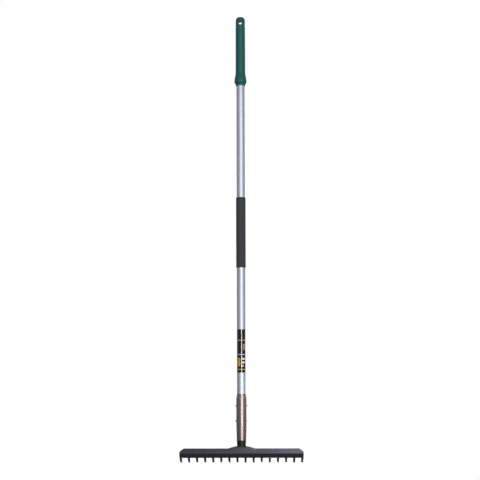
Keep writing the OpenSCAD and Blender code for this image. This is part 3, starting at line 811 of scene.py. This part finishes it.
middle, last = TOOTH_COUNT // 2 - 1, TOOTH_COUNT - 2
for i in range(last + 1):
    low, high = mm(TEETH[i] + RIB), mm(TEETH[i + 1] - RIB)
    rim = HUMP_LOW + WALL if abs(i - middle) == 1 else WALL
    top = END_POCKET_TOP if i in (0, last) else BAR_H - WALL
    cell = []
    for f in bm.faces:
        c = f.calc_center_median()
        behind_bar = c.y > mm(BAR_BACK - NEAR) and f.normal.y > 0.5
        if behind_bar and low < c.x < high and rim < c.z * 1000 - BAR_LOW < top:
            cell.append(f)
    # The middle cell is solid, because the neck stands on it.
    if cell and i != middle:
        push(bm, cell, pocket_floor)
    bm.normal_update()
print("with pockets:", len(bm.faces), "faces")

# %% Dome
DOME_R, DOME_RISE, DOME_HALF = 138.0, 7.2, 44
LIFT_FROM = 18

for v in bm.verts:
    x = v.co.x * 1000
    rise = math.sqrt(DOME_R ** 2 - x ** 2) - (DOME_R - DOME_RISE) if abs(x) < DOME_HALF else 0
    lift = min(1, max(0, (height_of(v) - LIFT_FROM) / (BAR_H - LIFT_FROM)))
    forward = -lift * rise / DOME_RISE if v.co.y < 0 else 0
    v.co += mm(0, forward, rise * lift)
print("dome:", DOME_RISE, "mm above the bar")

# %% [markdown]
# All sixteen teeth bend about one line behind the head, so one Spin makes them all. Each root is
# first pulled down and turned to face along the tooth, and it is left wider than the tooth, as a
# moulded root is. After the spin, every point is drawn towards the middle of its tooth, more
# and more towards the tip, and the tip's two short edges are rounded.

# %% Roots of the teeth
BEND_Y, BEND_H, BEND_R = 46.53, 54.55, 74.0
START, END = 233.0, 256.0
ROOT_HALF, ROOT_FLARE = 4.1, 0.7


def tooth_middle(x):
    """Middle of the tooth nearest to x, in millimetres."""
    return min(TEETH, key=lambda t: abs(t - x))


def on_bend(x, r, angle):
    """A point at radius r and at an angle round the line that the teeth bend about."""
    return at_head(x, BEND_Y + r * math.cos(angle), BEND_H + r * math.sin(angle))


def root_place(v):
    """Place of a root's vertex on the first cross-section of its tooth."""
    r = BEND_R + (ROOT_HALF if v.co.y < mm(-3) else -ROOT_HALF)
    x = tooth_middle(v.co.x * 1000)
    half = RIB if v.co.x * 1000 > x else -RIB
    return on_bend(x + half, r, math.radians(START))


roots = []
for f in under_faces(bm):
    x = f.calc_center_median().x * 1000
    if abs(x - tooth_middle(x)) < 2:
        roots.append(f)
for f in roots:
    x = tooth_middle(f.calc_center_median().x * 1000)
    for v in f.verts:
        v.co.x += mm(ROOT_FLARE) if v.co.x * 1000 > x else mm(-ROOT_FLARE)
tips = push(bm, roots, root_place)
print("roots:", len(roots))

# %% Teeth
THINNER, NARROWER = 0.4, 0.06
TIP_ROUND = 2

around = list({e for f in tips for e in f.edges}) + list({v for f in tips for v in f.verts})
spun = bmesh.ops.spin(bm, geom=tips + around, cent=at_head(0, BEND_Y, BEND_H), axis=(1, 0, 0),
                      angle=math.radians(END - START), steps=7)
for v in bm.verts:
    if height_of(v) < -0.5:
        y, h = v.co.y * 1000 - BEND_Y, height_of(v) - BEND_H
        angle = math.atan2(h, y)
        share = min(1, max(0, (math.degrees(angle) % 360 - START) / (END - START)))
        x = tooth_middle(v.co.x * 1000)
        r = BEND_R + (math.hypot(y, h) - BEND_R) * (1 - THINNER * share)
        v.co = on_bend(x + (v.co.x * 1000 - x) * (1 - NARROWER * share), r, angle)
tip_edges = [e for f in spun["geom_last"] if isinstance(f, bmesh.types.BMFace)
             for e in f.edges if abs(e.verts[0].co.x - e.verts[1].co.x) < mm(1)]
bmesh.ops.bevel(bm, geom=tip_edges, affect="EDGES", offset=mm(TIP_ROUND), offset_type="OFFSET", segments=4,
                profile=0.5, material=-1)
print("with teeth:", len(bm.faces), "faces")

# %% [markdown]
# The neck is turned like the handle's pieces: a boss that rises out of the hump, and a hollow
# spigot that runs up through the collar into the ferrule. It joins the bar's mesh as a second
# closed shell, and a Bevel modifier softens the edges that are still sharp.

# %% Neck and the finished head
BOSS_R, BOSS_LOW = 15, BAR_LOW + 20
SPIGOT_R, SPIGOT_BEVEL = 12.6, 1.5
SPIGOT_TOP = span("rake_head")[1]
CORE_R, CORE_LOW = 6.5, COLLAR_LOW - 16

neck_outline = [(0, BOSS_LOW), (BOSS_R, BOSS_LOW), (BOSS_R, COLLAR_LOW, 0.6), (SPIGOT_R, COLLAR_LOW)]
neck_outline += [(SPIGOT_R, SPIGOT_TOP - SPIGOT_BEVEL), (SPIGOT_R - SPIGOT_BEVEL, SPIGOT_TOP)]
neck_outline += [(CORE_R, SPIGOT_TOP), (CORE_R, CORE_LOW), (0, CORE_LOW)]
bmesh.ops.remove_doubles(bm, verts=bm.verts, dist=mm(MERGE))
bmesh.ops.dissolve_degenerate(bm, dist=mm(MERGE), edges=bm.edges)
bmesh.ops.recalc_face_normals(bm, faces=bm.faces)
neck = bmesh.new()
turn(neck, draw_outline(neck, neck_outline), steps=64)
bmesh.ops.recalc_face_normals(neck, faces=neck.faces)
neck_mesh = bpy.data.meshes.new("neck")
neck.to_mesh(neck_mesh)
neck.free()
bm.from_mesh(neck_mesh)
bpy.data.meshes.remove(neck_mesh)
head = make_piece(bm, "moulded_head", "rake_head", [nylon], sharp=40)
rounding = head.modifiers.new("moulded_edges", "BEVEL")
rounding.width = mm(0.6)
rounding.segments = 2
rounding.use_clamp_overlap = False
rounding.harden_normals = True
rounding.limit_method = "ANGLE"
rounding.angle_limit = math.radians(38)
